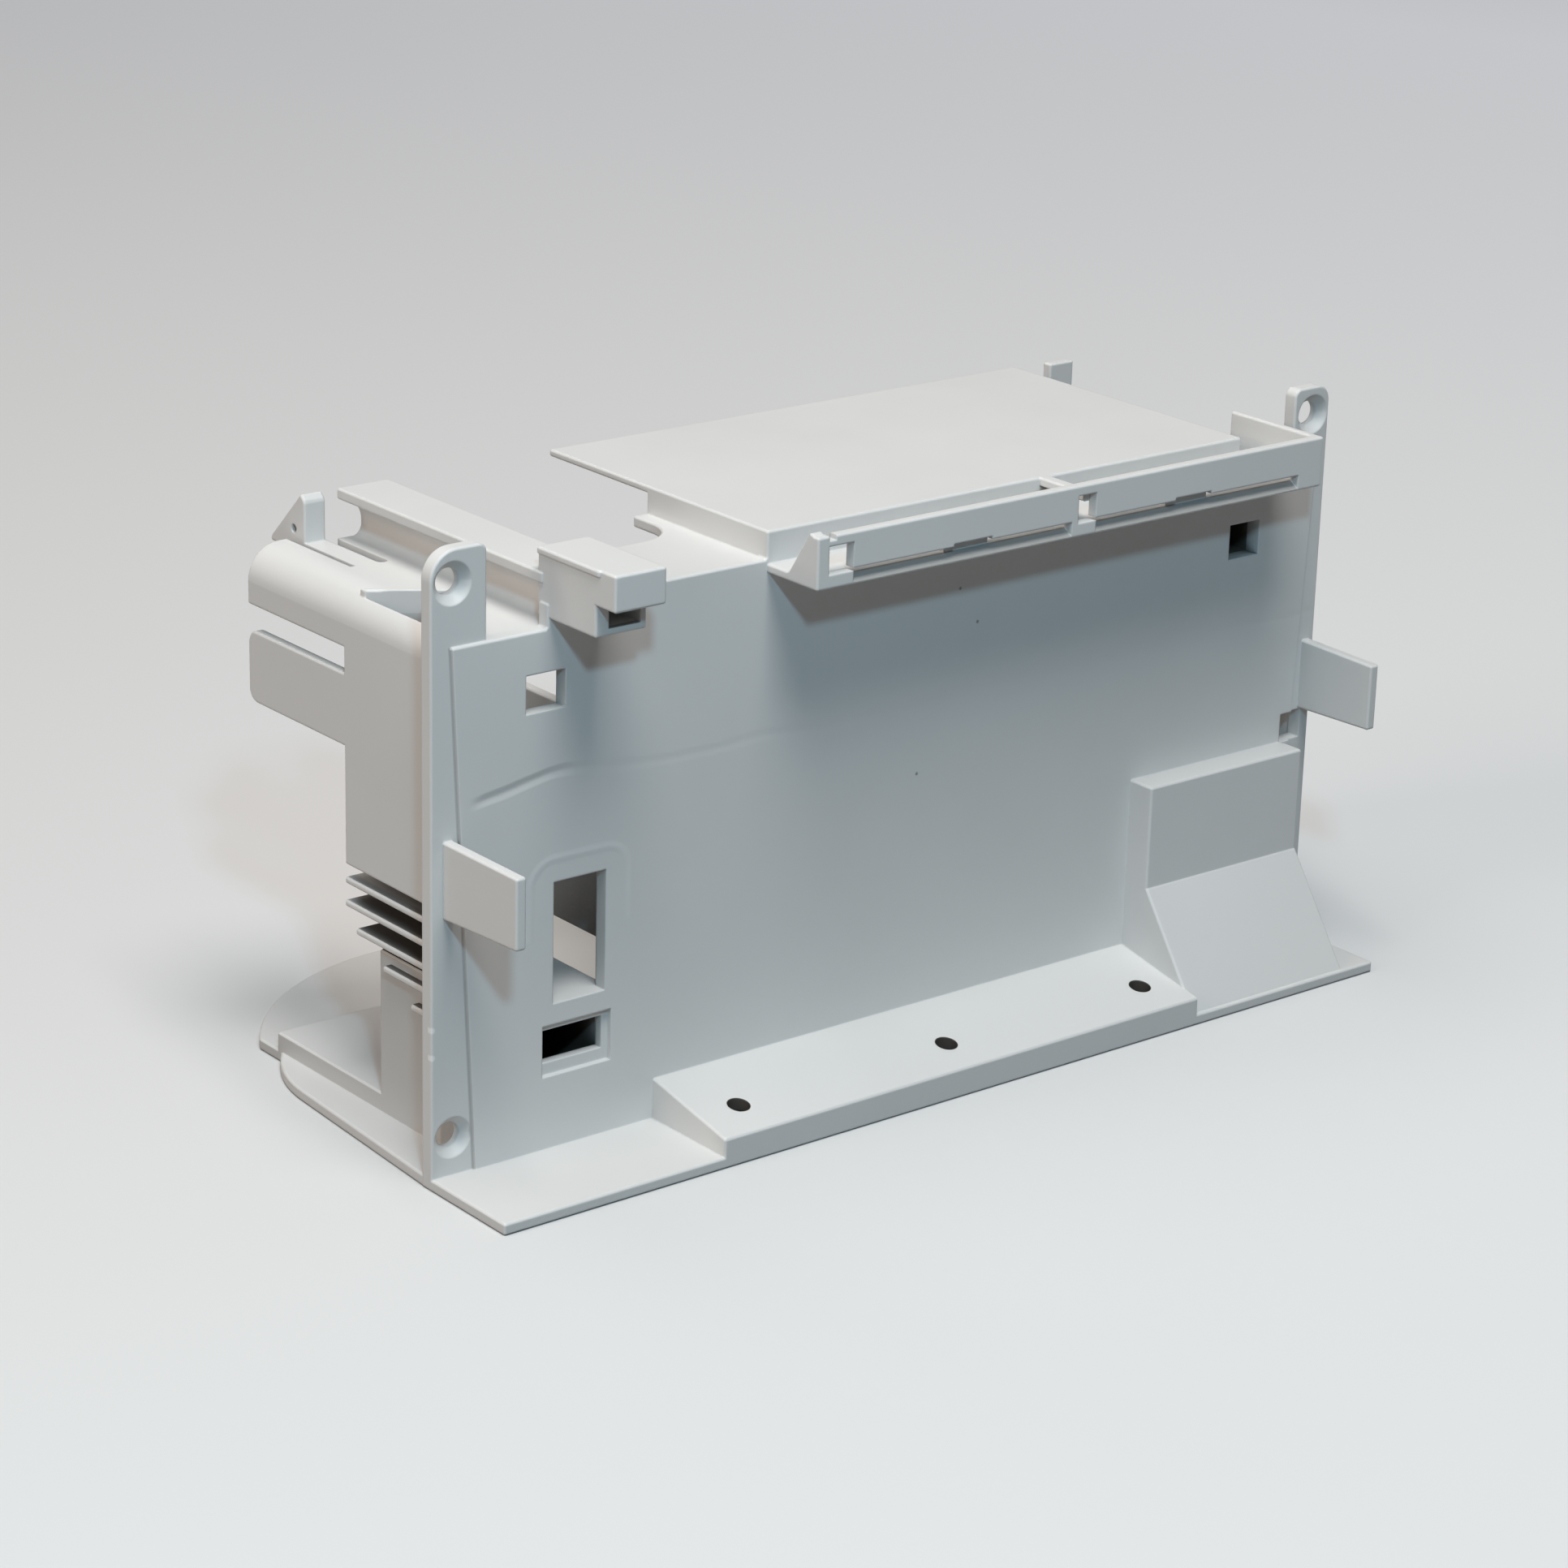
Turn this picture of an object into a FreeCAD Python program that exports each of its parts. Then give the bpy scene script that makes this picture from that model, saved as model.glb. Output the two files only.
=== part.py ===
import FreeCAD, Part
import os
import Sketcher

# Moulded open-backed housing in one piece.
# X runs along the base, Y runs away from the front edge of the base, Z is up.
# The drawing frame has its zero at the front left corner of the underside,
# and the finished solid is moved so that zero is under the middle of the base.

SIZES = {
    "base_length": 200.0,
    "base_depth": 112.0,
    "base_thick": 2.1,
    "base_side_straight": 22.0,
    "base_side_inset": 2.7,
    "base_side_back": 65.0,
    "base_corner_radius": 28.6,
    "base_corner_run": 16.3,
    "apron_side": 9.0,
    "apron_side_run": 7.2,
    "apron_radius": 47.5,
    "apron_run": 41.0,
    "wall_front": 20.4,
    "wall_thick": 2.7,
    "strip_set_back": 0.6,
    "strip_thick": 2.9,
    "strip_width": 11.0,
    "panel_foot_inset": 8.4,
    "panel_head_inset": 3.65,
    "panel_foot_right_inset": 7.1,
    "panel_head_right_inset": 2.6,
    "hood_top": 94.0,
    "sheet_rise": 4.2,
    "deck_rise": 4.9,
    "skin": 2.0,
    "lug_width": 10.9,
    "lug_rise": 16.3,
    "lug_corner": 5.0,
    "lug_small_corner": 1.5,
    "right_lug_width": 8.8,
    "right_lug_rise": 11.6,
    "right_lug_corner": 3.0,
    "lug_hole_inset": 4.2,
    "lug_hole_drop": 5.7,
    "low_hole_height": 8.8,
    "screw_hole": 4.5,
    "sink_width": 7.4,
    "sink_depth": 1.6,
    "step_left": 45.2,
    "step_right_inset": 45.4,
    "step_front_height": 5.4,
    "step_rise": 4.1,
    "step_skin": 2.2,
    "foot_hole": 4.0,
    "foot_hole_row": 7.6,
    "foot_hole_inset": 8.7,
    "foot_hole_pitch": 46.5,
    "block_width": 38.4,
    "block_right_inset": 7.6,
    "block_reach": 5.7,
    "block_top": 41.8,
    "ramp_top": 22.3,
    "ramp_foot": 0.6,
    "hole_height": 6.6,
    "hole_drop": 7.3,
    "hole_left": 18.2,
    "hole_width": 7.9,
    "far_hole_width": 7.5,
    "far_hole_inset": 16.8,
    "notch_width": 5.7,
    "notch_inset": 2.4,
    "notch_dip": 0.2,
    "notch_height": 5.6,
    "window_left": 24.0,
    "window_width": 10.75,
    "window_low": 28.2,
    "window_height": 21.7,
    "port_inset": 0.7,
    "port_width": 12.2,
    "port_rise": 2.2,
    "port_height": 5.9,
    "frame_left": 21.9,
    "frame_width": 14.2,
    "frame_low": 15.2,
    "frame_height": 9.3,
    "frame_sink": 1.0,
    "tab_low": 47.8,
    "tab_height": 13.5,
    "tab_tip_rise": 1.1,
    "tab_thick": 2.0,
    "tab_inset": 2.3,
    "tab_tip": 0.4,
    "right_tab_gap": 3.1,
    "right_tab_tip": 2.8,
    "right_tab_low": 47.4,
    "right_tab_tip_rise": 0.6,
    "right_tab_tip_drop": 0.4,
    "hood_side": 7.4,
    "hood_nose": 6.2,
    "hood_reach": 64.4,
    "hood_gap": 2.3,
    "hood_wall_reach": 34.6,
    "tongue_width": 12.9,
    "side_slot": 4.5,
    "nose_drop": 10.3,
    "tongue_corner": 2.4,
    "top_slot_inset": 7.8,
    "top_slot_width": 1.0,
    "top_slot_length": 20.2,
    "hook_width": 4.3,
    "wide_slot_width": 2.1,
    "wide_slot_length": 21.0,
    "hook_set_back": 4.5,
    "hook_face_rise": 7.3,
    "hook_lead": 1.2,
    "hook_ridge_rise": 1.3,
    "hook_length": 10.8,
    "hook_hole": 1.6,
    "hook_hole_set_back": 3.4,
    "hook_hole_rise": 1.9,
    "relief_inset": 2.4,
    "relief_length": 29.2,
    "relief_width": 11.2,
    "relief_tip_run": 21.7,
    "relief_gap": 2.4,
    "relief_depth": 8.0,
    "relief_wall_thick": 1.6,
    "fin_thick": 1.2,
    "fin_pitch": 4.2,
    "fin_top": 42.9,
    "fin_reach_first": 34.7,
    "fin_reach_second": 34.8,
    "fin_reach_third": 31.5,
    "fin_reach_fourth": 23.4,
    "fin_reach_fifth": 15.1,
    "rib_inset": 13.0,
    "rib_thick": 1.6,
    "rib_reach": 36.9,
    "rib_top": 62.0,
    "floor_inset": 1.6,
    "floor_top": 5.5,
    "floor_reach": 59.5,
    "floor_width": 34.0,
    "post_reach": 26.7,
    "post_top": 31.9,
    "beam_inset": 15.0,
    "beam_width": 10.6,
    "beam_reach": 59.4,
    "beam_groove": 4.8,
    "beam_web_thick": 2.0,
    "beam_lip": 2.0,
    "beam_groove_radius": 4.2,
    "beam_foot_radius": 2.2,
    "box_inset": 0.3,
    "box_width": 10.2,
    "box_reach": 17.8,
    "box_undercut": 5.2,
    "box_rise": 1.6,
    "box_low_height": 5.4,
    "box_high_height": 6.2,
    "box_root": 0.6,
    "box_lid": 1.3,
    "box_lid_proud": 0.35,
    "box_lid_inset": 4.0,
    "box_wall": 1.2,
    "box_side_wall": 2.6,
    "deck_left": 67.5,
    "deck_right_inset": 22.8,
    "deck_reach": 59.9,
    "deck_thick": 1.3,
    "deck_side_reach": 31.0,
    "deck_side_thick": 1.5,
    "sheet_lap": 2.0,
    "sheet_reach": 17.6,
    "sheet_corner": 8.0,
    "sheet_corner_inset": 2.9,
    "body_reach": 60.9,
    "rail_reach": 13.35,
    "rail_thick": 2.0,
    "rail_drop": 2.3,
    "rail_shelf": 1.6,
    "rail_height": 9.2,
    "rail_end_inset": 16.7,
    "rail_return": 1.5,
    "rail_return_reach": 6.6,
    "gusset_thick": 2.4,
    "gusset_dip": 0.5,
    "gusset_head": 2.35,
    "gusset_rise": 0.5,
    "gusset_foot": 7.75,
    "gate_height": 5.0,
    "gate_rise": 2.4,
    "gate_first_width": 5.3,
    "gate_lead": 2.8,
    "gate_second_width": 4.2,
    "rail_sill": 0.3,
    "slit_gap": 1.3,
    "slit_end_gap": 1.4,
    "slit_end_inset": 4.5,
    "bridge_offset": 60.7,
    "bridge_thick": 2.4,
    "bridge_height": 1.7,
    "end_wall_thick": 2.0,
    "end_wall_drop": 12.2,
    "catch_inset": 14.4,
    "catch_width": 6.0,
    "catch_rise": 4.4,
    "catch_thick": 2.2,
    "divider_left": 45.0,
    "divider_thick": 2.0,
    "divider_low": 30.0,
    "divider_height": 39.6,
    "divider_reach": 56.9,
    "shelf_lap": 0.25,
    "shelf_thick": 1.8,
    "cavity_wall": 1.6,
    "rail_nick_width": 1.6,
    "rail_nick_depth": 0.9,
    "notch_first_offset": 29.7,
    "notch_length": 8.6,
    "notch_second_offset": 81.1,
    "notch_rise": 0.5,
    "rail_pad": 1.5,
    "rail_pad_lap": 0.6,
    "edge_ease": 0.3,
    "nib_inset": 1.3,
    "nib_width": 0.8,
    "nib_drop": 0.7,
    "pocket_wall": 1.5,
    "pocket_depth": 16.0,
    "bury": 1.0,
    "cut_past": 1.0,
}

# Places that follow from the sizes, each from the part that it belongs to.
PLACES = {
    "wall_back": "wall_front + wall_thick",
    "strip_front": "wall_front + strip_set_back",
    "strip_back": "strip_front + strip_thick",
    "base_corner_end": "base_side_back + base_corner_run",
    "apron_start": "base_corner_end + apron_side_run",
    "apron_tangent": "apron_side + apron_run",
    "panel_foot_right": "base_length - panel_foot_right_inset",
    "panel_head_right": "base_length - panel_head_right_inset",
    "sheet_top": "hood_top + sheet_rise",
    "deck_top": "sheet_top + deck_rise",
    "lug_top": "hood_top + lug_rise",
    "right_lug_top": "sheet_top + right_lug_rise",
    "lug_hole_height": "lug_top - lug_hole_drop",
    "step_back_height": "step_front_height + step_rise",
    "step_right": "base_length - step_right_inset",
    "foot_hole_first": "step_left + foot_hole_inset",
    "block_right": "base_length - block_right_inset",
    "block_left": "block_right - block_width",
    "block_front": "wall_front - block_reach",
    "hole_high": "hood_top - hole_drop",
    "hole_low": "hole_high - hole_height",
    "hole_right": "hole_left + hole_width",
    "far_hole_right": "base_length - far_hole_inset",
    "far_hole_left": "far_hole_right - far_hole_width",
    "notch_right": "base_length - notch_inset",
    "notch_left": "notch_right - notch_width",
    "notch_low": "block_top - notch_dip",
    "notch_high": "notch_low + notch_height",
    "window_right": "window_left + window_width",
    "window_high": "window_low + window_height",
    "frame_right": "frame_left + frame_width",
    "frame_high": "frame_low + frame_height",
    "port_left": "frame_left + port_inset",
    "port_right": "port_left + port_width",
    "port_low": "frame_low + port_rise",
    "port_high": "port_low + port_height",
    "tab_high": "tab_low + tab_height",
    "right_tab_inset": "base_length - right_tab_gap",
    "right_tab_high": "right_tab_low + tab_height",
    "hood_low": "fin_top + hood_gap",
    "hood_wall_end": "wall_back + hood_wall_reach",
    "hood_end": "wall_back + hood_reach",
    "nose_low": "hood_top - nose_drop",
    "tongue_high": "nose_low - side_slot",
    "tongue_low": "tongue_high - tongue_width",
    "top_slot_left": "hood_side + top_slot_inset",
    "top_slot_right": "top_slot_left + top_slot_width",
    "top_slot_start": "hood_end - top_slot_length",
    "wide_slot_left": "top_slot_right + hook_width",
    "wide_slot_right": "wide_slot_left + wide_slot_width",
    "wide_slot_start": "hood_end - wide_slot_length",
    "hook_front": "hood_end - hook_set_back",
    "hook_ridge": "hook_front + hook_lead",
    "hook_back": "hook_front + hook_length",
    "hook_face_top": "hood_top + hook_face_rise",
    "hook_top": "hook_face_top + hook_ridge_rise",
    "hook_hole_row": "hook_front + hook_hole_set_back",
    "hook_hole_height": "hood_top + hook_hole_rise",
    "relief_edge": "hood_side + relief_inset",
    "relief_tip_x": "relief_edge + relief_width",
    "relief_front": "wall_back + relief_gap",
    "relief_tip_y": "relief_front + relief_tip_run",
    "relief_back": "relief_front + relief_length",
    "fin_end_first": "wall_back + fin_reach_first",
    "fin_end_second": "wall_back + fin_reach_second",
    "fin_end_third": "wall_back + fin_reach_third",
    "fin_end_fourth": "wall_back + fin_reach_fourth",
    "fin_end_fifth": "wall_back + fin_reach_fifth",
    "rib_left": "hood_side + rib_inset",
    "rib_right": "rib_left + rib_thick",
    "rib_back": "wall_back + rib_reach",
    "floor_side": "hood_side + floor_inset",
    "floor_back": "wall_back + floor_reach",
    "floor_right": "floor_side + floor_width",
    "post_back": "wall_back + post_reach",
    "beam_left": "hood_side + beam_inset",
    "beam_right": "beam_left + beam_width",
    "beam_back": "wall_back + beam_reach",
    "beam_web": "beam_left + beam_groove",
    "box_left": "beam_left + box_inset",
    "box_right": "box_left + box_width",
    "box_front": "wall_front - box_reach",
    "box_low_front": "box_front + box_undercut",
    "box_low": "hood_top + box_rise",
    "box_split": "box_low + box_low_height",
    "box_top": "box_split + box_high_height",
    "box_back": "wall_back + box_root",
    "box_lid_front": "box_front + box_lid_inset",
    "deck_right": "base_length - deck_right_inset",
    "deck_back": "wall_back + deck_reach",
    "deck_side_back": "wall_back + deck_side_reach",
    "sheet_left": "beam_right - sheet_lap",
    "sheet_back": "wall_back + sheet_reach",
    "sheet_corner_x": "deck_left - sheet_corner_inset",
    "body_back": "wall_back + body_reach",
    "rail_front": "wall_front - rail_reach",
    "rail_low": "sheet_top - rail_drop",
    "rail_top": "rail_low + rail_height",
    "rail_end": "base_length - rail_end_inset",
    "rail_return_back": "wall_back + rail_return_reach",
    "gusset_face_top": "rail_top - gusset_dip",
    "gusset_ridge_y": "rail_front + gusset_head",
    "gusset_ridge_z": "rail_top + gusset_rise",
    "gusset_foot_y": "rail_front + gusset_foot",
    "gate_low": "rail_low + gate_rise",
    "gate_high": "gate_low + gate_height",
    "gate_first_left": "deck_left + gusset_thick",
    "gate_first_right": "gate_first_left + gate_first_width",
    "bridge_left": "deck_left + bridge_offset",
    "bridge_right": "bridge_left + bridge_thick",
    "gate_second_left": "bridge_left - gate_lead",
    "gate_second_right": "gate_second_left + gate_second_width",
    "slit_low": "rail_low + rail_sill",
    "slit_high": "rail_low + rail_shelf + slit_gap",
    "slit_first_right": "gate_second_left - slit_end_gap",
    "slit_second_right": "rail_end - slit_end_inset",
    "bridge_low": "deck_top - bridge_height",
    "end_wall_top": "sheet_top - end_wall_drop",
    "catch_left": "base_length - catch_inset",
    "catch_right": "catch_left + catch_width",
    "catch_top": "sheet_top + catch_rise",
    "divider_high": "divider_low + divider_height",
    "divider_back": "wall_back + divider_reach",
    "shelf_right": "window_right + shelf_lap",
    "shelf_low": "window_low - shelf_thick",
    "nib_right": "window_right - nib_inset",
    "nib_left": "nib_right - nib_width",
    "pocket_left": "far_hole_left - pocket_wall",
    "pocket_right": "far_hole_right + pocket_wall",
    "pocket_low": "hole_low - pocket_wall",
    "pocket_high": "hole_high + pocket_wall",
    "pocket_back": "wall_back + pocket_depth",
}

doc = FreeCAD.newDocument("housing_source")
sheet = doc.addObject("Spreadsheet::Sheet", "sizes")
row = 1
for word, value in SIZES.items():
    sheet.set("A%d" % row, word)
    sheet.set("B%d" % row, str(value))
    sheet.setAlias("B%d" % row, word)
    row = row + 1
for word, text in PLACES.items():
    sheet.set("A%d" % row, word)
    sheet.set("B%d" % row, "=" + text)
    sheet.setAlias("B%d" % row, word)
    row = row + 1
doc.recompute()


def amount(text):
    """Add up a line such as 'wall_back - skin' from the cells of the sheet."""
    total = 0.0
    sign = 1.0
    for word in text.split():
        if word == "+":
            sign = 1.0
        elif word == "-":
            sign = -1.0
        elif word in SIZES or word in PLACES:
            total = total + sign * sheet.get(word)
        else:
            total = total + sign * float(word)
    return total


def link(text):
    """The same line with each name pointing at its cell in the sheet."""
    words = []
    for word in text.split():
        words.append("sizes." + word if word in SIZES or word in PLACES else word)
    return " ".join(words)


def box(name, x_low, x_high, y_low, y_high, z_low, z_high):
    """A block between two named limits on each axis."""
    item = doc.addObject("Part::Box", name)
    item.setExpression("Placement.Base.x", link(x_low))
    item.setExpression("Placement.Base.y", link(y_low))
    item.setExpression("Placement.Base.z", link(z_low))
    item.setExpression("Length", "(%s) - (%s)" % (link(x_high), link(x_low)))
    item.setExpression("Width", "(%s) - (%s)" % (link(y_high), link(y_low)))
    item.setExpression("Height", "(%s) - (%s)" % (link(z_high), link(z_low)))
    return item


def rod(name, axis, x_text, y_text, z_text, width, length):
    """A round bar of a given width that runs along one axis."""
    item = doc.addObject("Part::Cylinder", name)
    turns = {
        "x": FreeCAD.Rotation(FreeCAD.Vector(0, 1, 0), 90),
        "y": FreeCAD.Rotation(FreeCAD.Vector(1, 0, 0), -90),
        "z": FreeCAD.Rotation(),
    }
    item.Placement = FreeCAD.Placement(FreeCAD.Vector(0, 0, 0), turns[axis])
    item.setExpression("Placement.Base.x", link(x_text))
    item.setExpression("Placement.Base.y", link(y_text))
    item.setExpression("Placement.Base.z", link(z_text))
    item.setExpression("Radius", "(%s) / 2" % link(width))
    item.setExpression("Height", link(length))
    return item


def pin(sketch, index, end, x_text, y_text):
    """Hold one end of a line or arc at named distances from the sketch origin."""
    for kind, text, axis in (("DistanceX", x_text, -2), ("DistanceY", y_text, -1)):
        value = amount(text)
        if abs(value) < 1e-9:
            sketch.addConstraint(Sketcher.Constraint("PointOnObject", index, end, axis))
        else:
            spot = sketch.addConstraint(Sketcher.Constraint(kind, -1, 1, index, end, value))
            sketch.setExpression("Constraints[%d]" % spot, link(text))


def outline(name, plane, offset, depth, points):
    """Extrude a closed outline. A point may carry the radius of the arc that leaves it.

    The last number of such a point is 1 for an arc that turns left and -1 for one that turns right.
    """
    sketch = doc.addObject("Sketcher::SketchObject", name + "_outline")
    turns = {
        "xy": FreeCAD.Rotation(),
        "xz": FreeCAD.Rotation(FreeCAD.Vector(1, 0, 0), 90),
        "yz": FreeCAD.Rotation(FreeCAD.Vector(1, 1, 1), 120),
    }
    sketch.Placement = FreeCAD.Placement(FreeCAD.Vector(0, 0, 0), turns[plane])
    across = {"xy": "z", "xz": "y", "yz": "x"}[plane]
    sketch.setExpression("Placement.Base." + across, link(offset))
    spots = [FreeCAD.Vector(amount(p[0]), amount(p[1]), 0) for p in points]
    count = len(points)
    for i in range(count):
        start = spots[i]
        stop = spots[(i + 1) % count]
        if len(points[i]) == 2:
            sketch.addGeometry(Part.LineSegment(start, stop), False)
            first, last = 1, 2
        else:
            radius = amount(points[i][2])
            side = points[i][3]
            half = (stop - start) * 0.5
            normal = FreeCAD.Vector(-half.y, half.x, 0)
            reach = max(radius * radius - half.Length * half.Length, 0.0) ** 0.5
            centre = start + half + normal * (side * reach / half.Length)
            first, last = (1, 2) if side > 0 else (2, 1)
            low = start if side > 0 else stop
            high = stop if side > 0 else start
            circle = Part.Circle(centre, FreeCAD.Vector(0, 0, 1), radius)
            arc = Part.ArcOfCircle(circle, circle.parameter(low), circle.parameter(high))
            sketch.addGeometry(arc, False)
            spot = sketch.addConstraint(Sketcher.Constraint("Radius", i, radius))
            sketch.setExpression("Constraints[%d]" % spot, link(points[i][2]))
        far = points[(i + 1) % count]
        pin(sketch, i, first, points[i][0], points[i][1])
        pin(sketch, i, last, far[0], far[1])
    body = doc.addObject("Part::Extrusion", name)
    body.Base = sketch
    body.DirMode = "Custom"
    body.Dir = {
        "xy": FreeCAD.Vector(0, 0, 1),
        "xz": FreeCAD.Vector(0, 1, 0),
        "yz": FreeCAD.Vector(1, 0, 0),
    }[plane]
    body.setExpression("LengthFwd", link(depth))
    body.Solid = True
    return body


def join(name, parts):
    """One body from several that touch."""
    item = doc.addObject("Part::MultiFuse", name)
    item.Shapes = parts
    item.Refine = True
    return item


def ease(item):
    """Take a narrow bevel off every edge of one simple piece."""
    doc.recompute()
    eased = doc.addObject("Part::Chamfer", item.Name + "_eased")
    eased.Base = item
    width = amount("edge_ease")
    eased.Edges = [(number + 1, width, width) for number in range(len(item.Shape.Edges))]
    return eased


solids = []
cutters = []

# Base plate: rounded at the open left end, square under the right end wall, with a wide apron behind.
solids.append(ease(outline("base_plate", "xy", "0", "base_thick", [
    ("0", "0"),
    ("base_length", "0"),
    ("base_length", "body_back"),
    ("base_length - apron_side", "body_back"),
    ("base_length - apron_side", "apron_start", "apron_radius", 1),
    ("base_length - apron_tangent", "base_depth"),
    ("apron_tangent", "base_depth", "apron_radius", 1),
    ("apron_side", "apron_start"),
    ("apron_side", "base_corner_end", "base_corner_radius", 1),
    ("base_side_inset", "base_side_back"),
    ("0", "base_side_straight"),
])))

# Front wall with its raised panel, and the screw strip at each end.
solids.append(ease(outline("panel", "xz", "wall_front", "wall_back - wall_front", [
    ("panel_foot_inset", "0"),
    ("panel_foot_right", "0"),
    ("panel_head_right", "sheet_top"),
    ("deck_right", "sheet_top"),
    ("deck_right", "deck_top"),
    ("deck_left", "deck_top"),
    ("deck_left", "sheet_top"),
    ("beam_left", "sheet_top"),
    ("beam_left", "hood_top"),
    ("panel_head_inset", "hood_top"),
])))
solids.append(ease(box("left_strip", "0", "strip_width", "strip_front", "strip_back", "0", "hood_top")))
solids.append(ease(outline("left_lug", "xz", "strip_front", "strip_back - strip_front", [
    ("0", "hood_top - skin"),
    ("lug_width", "hood_top - skin"),
    ("lug_width", "lug_top - lug_small_corner", "lug_small_corner", 1),
    ("lug_width - lug_small_corner", "lug_top"),
    ("lug_corner", "lug_top", "lug_corner", 1),
    ("0", "lug_top - lug_corner"),
])))
solids.append(ease(box("right_strip", "base_length - right_lug_width", "base_length",
                  "strip_front", "strip_back", "0", "sheet_top")))
solids.append(ease(outline("right_lug", "xz", "strip_front", "strip_back - strip_front", [
    ("base_length - right_lug_width", "sheet_top - skin"),
    ("base_length", "sheet_top - skin"),
    ("base_length", "right_lug_top - right_lug_corner", "right_lug_corner", 1),
    ("base_length - right_lug_corner", "right_lug_top"),
    ("base_length - right_lug_width + lug_small_corner", "right_lug_top", "lug_small_corner", 1),
    ("base_length - right_lug_width", "right_lug_top - lug_small_corner"),
])))

# Countersunk screw holes in the strips and lugs.
screw_spots = (
    ("left_high", "lug_hole_inset", "lug_hole_height"),
    ("left_low", "lug_hole_inset", "low_hole_height"),
    ("right_high", "base_length - lug_hole_inset", "lug_hole_height"),
    ("right_low", "base_length - lug_hole_inset", "low_hole_height"),
)
for word, across, height in screw_spots:
    cutters.append(rod("screw_" + word, "y", across, "wall_front - cut_past", height,
                       "screw_hole", "strip_back - wall_front + cut_past + cut_past"))
    sink = doc.addObject("Part::Cone", "sink_" + word)
    sink.Placement = FreeCAD.Placement(FreeCAD.Vector(0, 0, 0),
                                       FreeCAD.Rotation(FreeCAD.Vector(1, 0, 0), -90))
    sink.setExpression("Placement.Base.x", link(across))
    sink.setExpression("Placement.Base.y", link("strip_front"))
    sink.setExpression("Placement.Base.z", link(height))
    sink.setExpression("Radius1", "sizes.sink_width / 2")
    sink.setExpression("Radius2", "sizes.screw_hole / 2")
    sink.setExpression("Height", "sizes.sink_depth")
    cutters.append(sink)
    cutters.append(rod("seat_" + word, "y", across, "wall_front - cut_past", height,
                       "sink_width", "strip_front - wall_front + cut_past"))

# Sloping step along the foot of the wall, cored from below, with its three holes.
solids.append(ease(outline("step", "yz", "step_left", "step_right - step_left", [
    ("0", "0"),
    ("wall_front + bury", "0"),
    ("wall_front + bury", "step_back_height"),
    ("wall_front", "step_back_height"),
    ("0", "step_front_height"),
])))
cutters.append(outline("step_core", "yz", "step_left + skin",
                       "step_right - step_left - skin - skin", [
    ("skin", "0 - cut_past"),
    ("wall_front - cut_past", "0 - cut_past"),
    ("wall_front - cut_past", "step_back_height - step_skin"),
    ("skin", "step_front_height - step_skin"),
]))
for number in range(3):
    spot = "foot_hole_first" + " + foot_hole_pitch" * number
    cutters.append(rod("foot_hole_%d" % (number + 1), "z", spot, "foot_hole_row", "0 - cut_past",
                       "foot_hole", "step_back_height + cut_past + cut_past"))

# Square-topped block with the ramp in front of it, cored from behind.
solids.append(ease(box("block", "block_left", "block_right", "block_front", "wall_back", "0", "block_top")))
solids.append(ease(outline("ramp", "yz", "block_left", "block_right - block_left", [
    ("ramp_foot", "base_thick"),
    ("ramp_foot", "0"),
    ("block_front + bury", "0"),
    ("block_front + bury", "ramp_top"),
    ("block_front", "ramp_top"),
])))
cutters.append(box("block_core", "block_left + skin", "block_right - skin",
                   "block_front + skin", "wall_back + cut_past", "base_thick", "block_top - skin"))

# Small openings in the wall.
cutters.append(box("left_hole", "hole_left", "hole_right", "wall_front - cut_past", "wall_back + cut_past",
                   "hole_low", "hole_high"))
cutters.append(box("right_hole", "far_hole_left", "far_hole_right",
                   "wall_front - cut_past", "wall_back + cut_past", "hole_low", "hole_high"))
cutters.append(box("notch", "notch_left", "notch_right", "wall_front - cut_past", "strip_back + cut_past",
                   "notch_low", "notch_high"))
cutters.append(box("window", "window_left", "window_right", "wall_front - cut_past", "wall_back + cut_past",
                   "window_low", "window_high"))
cutters.append(box("port", "port_left", "port_right", "wall_front - cut_past", "wall_back + cut_past",
                   "port_low", "port_high"))
cutters.append(box("port_frame", "frame_left", "frame_right", "wall_front - cut_past",
                   "wall_front + frame_sink", "frame_low", "frame_high"))

# Small nib of flash at the top of the window.
solids.append(outline("window_nib", "xz", "wall_front", "wall_back - wall_front", [
    ("nib_left", "window_high - nib_drop"),
    ("nib_right", "window_high"),
    ("nib_right", "window_high + bury"),
    ("nib_left", "window_high + bury"),
]))

# Flat tabs that stand out from the strips.
solids.append(ease(outline("left_tab", "yz", "tab_inset", "tab_thick", [
    ("tab_tip", "tab_low + tab_tip_rise"),
    ("strip_front + bury", "tab_low"),
    ("strip_front + bury", "tab_high"),
    ("tab_tip", "tab_high"),
])))
solids.append(ease(outline("right_tab", "yz", "right_tab_inset", "tab_thick", [
    ("right_tab_tip", "right_tab_low + right_tab_tip_rise"),
    ("strip_front + bury", "right_tab_low"),
    ("strip_front + bury", "right_tab_high"),
    ("right_tab_tip", "right_tab_high - right_tab_tip_drop"),
])))

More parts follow.
